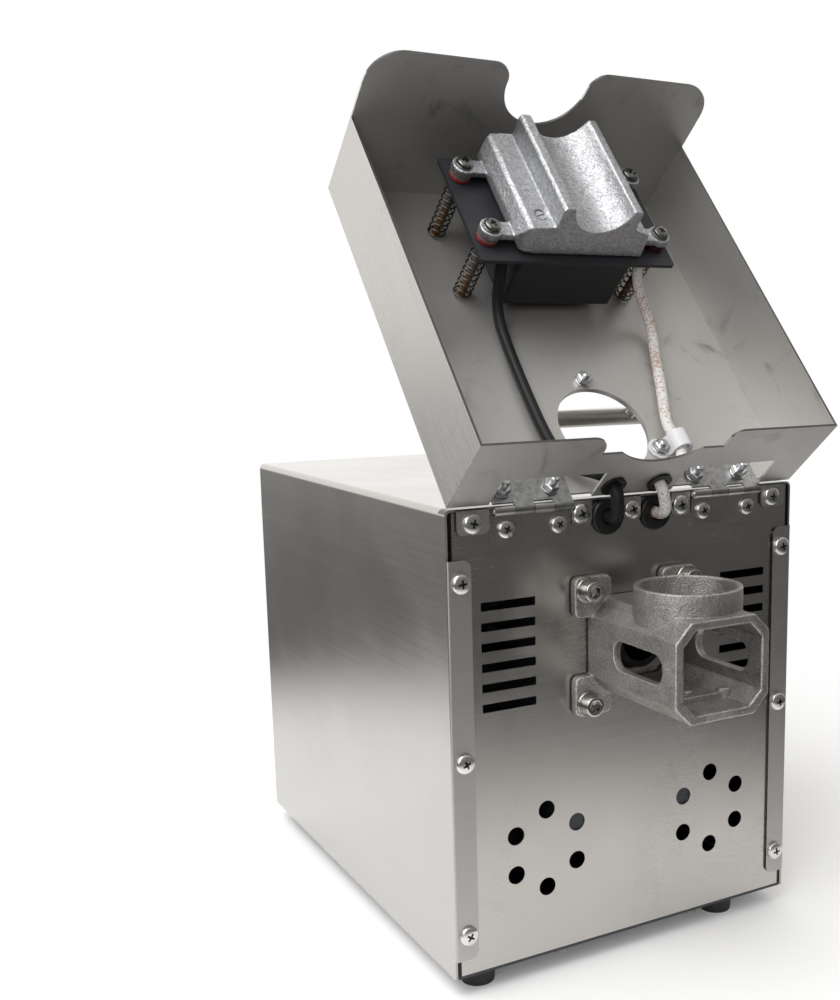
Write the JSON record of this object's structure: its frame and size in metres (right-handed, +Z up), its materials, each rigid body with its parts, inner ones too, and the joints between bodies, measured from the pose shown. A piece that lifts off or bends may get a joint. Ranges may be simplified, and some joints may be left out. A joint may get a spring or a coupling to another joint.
{
  "type": "oil press",
  "caption": "Upright stainless oil press body with a hinged heater lid open over a cast barrel seat with a feed collar.",
  "frame": {"origin": "middle of the bounding box at the height of the table, under the feet", "axes": "+Z up, -Y towards the barrel seat and the user, +X to the side with the controls"},
  "size_m": [0.2062, 0.3436, 0.4416],
  "materials": {
    "stainless": "brushed",
    "screws": "polished",
    "cast_seat": "sandblasted",
    "cast_block": "as cast",
    "rubber_black": "satin",
    "gearbox_metal": "as cast",
    "steel_dark": "machined",
    "bronze": "machined",
    "winding": "lacquered",
    "motor_paint": "satin",
    "black_plastic": "moulded",
    "red_plastic": "gloss",
    "grey_plastic": "moulded",
    "display_window": "gloss",
    "board_green": "lacquered",
    "board_black": "moulded",
    "cable_black": "gloss",
    "cable_white": "braided",
    "clip_clear": "translucent",
    "rubber_red": "satin",
    "heater_black": "matt"
  },
  "bodies": {
    "housing": {"cover_shell": "stainless", "front_panel": "stainless", "rear_panel": "stainless", "base_plate": "stainless", "rubber_feet": "rubber_black", "cover_screws": "screws", "chassis_screws": "screws", "hinge_lower_leaves": "stainless", "hinge_pins": "screws", "hinge_leaf_screws": "screws", "panel_grommets": "rubber_black", "feed_casting": "cast_seat", "casting_bolts": "screws", "casting_washers": "screws", "gearbox_case": "gearbox_metal", "gearbox_cover": "gearbox_metal", "gearbox_screws": "steel_dark", "shaft_bushes": "bronze", "stator": "winding", "motor_can": "motor_paint", "motor_front_bell": "gearbox_metal", "motor_end_bell": "gearbox_metal", "motor_cradle": "steel_dark", "fan_frame": "black_plastic", "power_inlet": "black_plastic", "control_board": "board_green", "board_parts": "board_black", "controller_housing": "black_plastic", "controller_display": "display_window", "switch_housings": "black_plastic", "lead_loops": "cable_black", "inner_leads": "cable_black"},
    "output": {"output_hub": "steel_dark", "output_gear": "steel_dark"},
    "layshaft": {"lay_shaft": "steel_dark", "lay_gears": "steel_dark"},
    "rotor": {"motor_pinion": "steel_dark", "motor_shaft": "steel_dark", "rotor_core": "steel_dark"},
    "fan": {"fan_impeller": "black_plastic"},
    "set_key": {"set_button": "grey_plastic"},
    "up_key": {"up_button": "grey_plastic"},
    "down_key": {"down_button": "grey_plastic"},
    "run_switch": {"run_rocker": "black_plastic"},
    "heat_switch": {"heat_rocker": "red_plastic"},
    "lid": {"lid_tray": "stainless", "hinge_upper_leaves": "stainless", "hinge_bolts": "screws", "lid_handle": "stainless", "hopper_ring": "stainless", "ring_screws": "screws", "lead_clip": "clip_clear", "lid_grommets": "rubber_black", "heater_bolts": "screws", "heater_springs": "steel_dark", "lid_leads": "cable_white"},
    "heater": {"heater_block": "cast_block", "lug_washers": "rubber_red", "heater_plate": "heater_black", "heater_box": "heater_black"}
  },
  "joints": [
    {"name": "lid_hinge", "type": "hinge", "parent": "housing", "child": "lid", "pos_m": [-0.00311, -0.10275, 0.232], "axis": [1, 0, 0], "range_deg": [0, 128.9], "deforming": ["lead_loops"]},
    {"name": "heater_slide", "type": "slide", "parent": "lid", "child": "heater", "axis": [0, 0.7581, -0.6521], "range_m": [0, 0.005], "stiffness_N_per_m": 2000, "springref_m": -0.004, "deforming": ["heater_springs", "lid_leads"]},
    {"name": "motor_spin", "type": "hinge", "parent": "housing", "child": "rotor", "pos_m": [-0.00311, -0.00035, 0.0855], "axis": [0, 1, 0], "continuous": true},
    {"name": "lay_spin", "type": "hinge", "parent": "housing", "child": "layshaft", "pos_m": [-0.00311, -0.07035, 0.123], "axis": [0, 1, 0], "continuous": true},
    {"name": "output_spin", "type": "hinge", "parent": "housing", "child": "output", "pos_m": [-0.00311, -0.09035, 0.1635], "axis": [0, 1, 0], "continuous": true},
    {"name": "fan_spin", "type": "hinge", "parent": "housing", "child": "fan", "pos_m": [-0.04111, 0.14965, 0.16], "axis": [0, 1, 0], "continuous": true},
    {"name": "set_press", "type": "slide", "parent": "housing", "child": "set_key", "axis": [-1, 0, 0], "range_m": [0, 0.001], "stiffness_N_per_m": 400, "springref_m": -0.001},
    {"name": "up_press", "type": "slide", "parent": "housing", "child": "up_key", "axis": [-1, 0, 0], "range_m": [0, 0.001], "stiffness_N_per_m": 400, "springref_m": -0.001},
    {"name": "down_press", "type": "slide", "parent": "housing", "child": "down_key", "axis": [-1, 0, 0], "range_m": [0, 0.001], "stiffness_N_per_m": 400, "springref_m": -0.001},
    {"name": "run_tip", "type": "hinge", "parent": "housing", "child": "run_switch", "pos_m": [0.09489, -0.02635, 0.122], "axis": [0, 1, 0], "range_deg": [-11, 11]},
    {"name": "heat_tip", "type": "hinge", "parent": "housing", "child": "heat_switch", "pos_m": [0.09489, 0.01765, 0.122], "axis": [0, 1, 0], "range_deg": [-22, 0]}
  ],
  "couplings": [
    {"joint": "lay_spin", "follows": "motor_spin", "ratio": -0.25},
    {"joint": "output_spin", "follows": "motor_spin", "ratio": 0.071429}
  ]
}
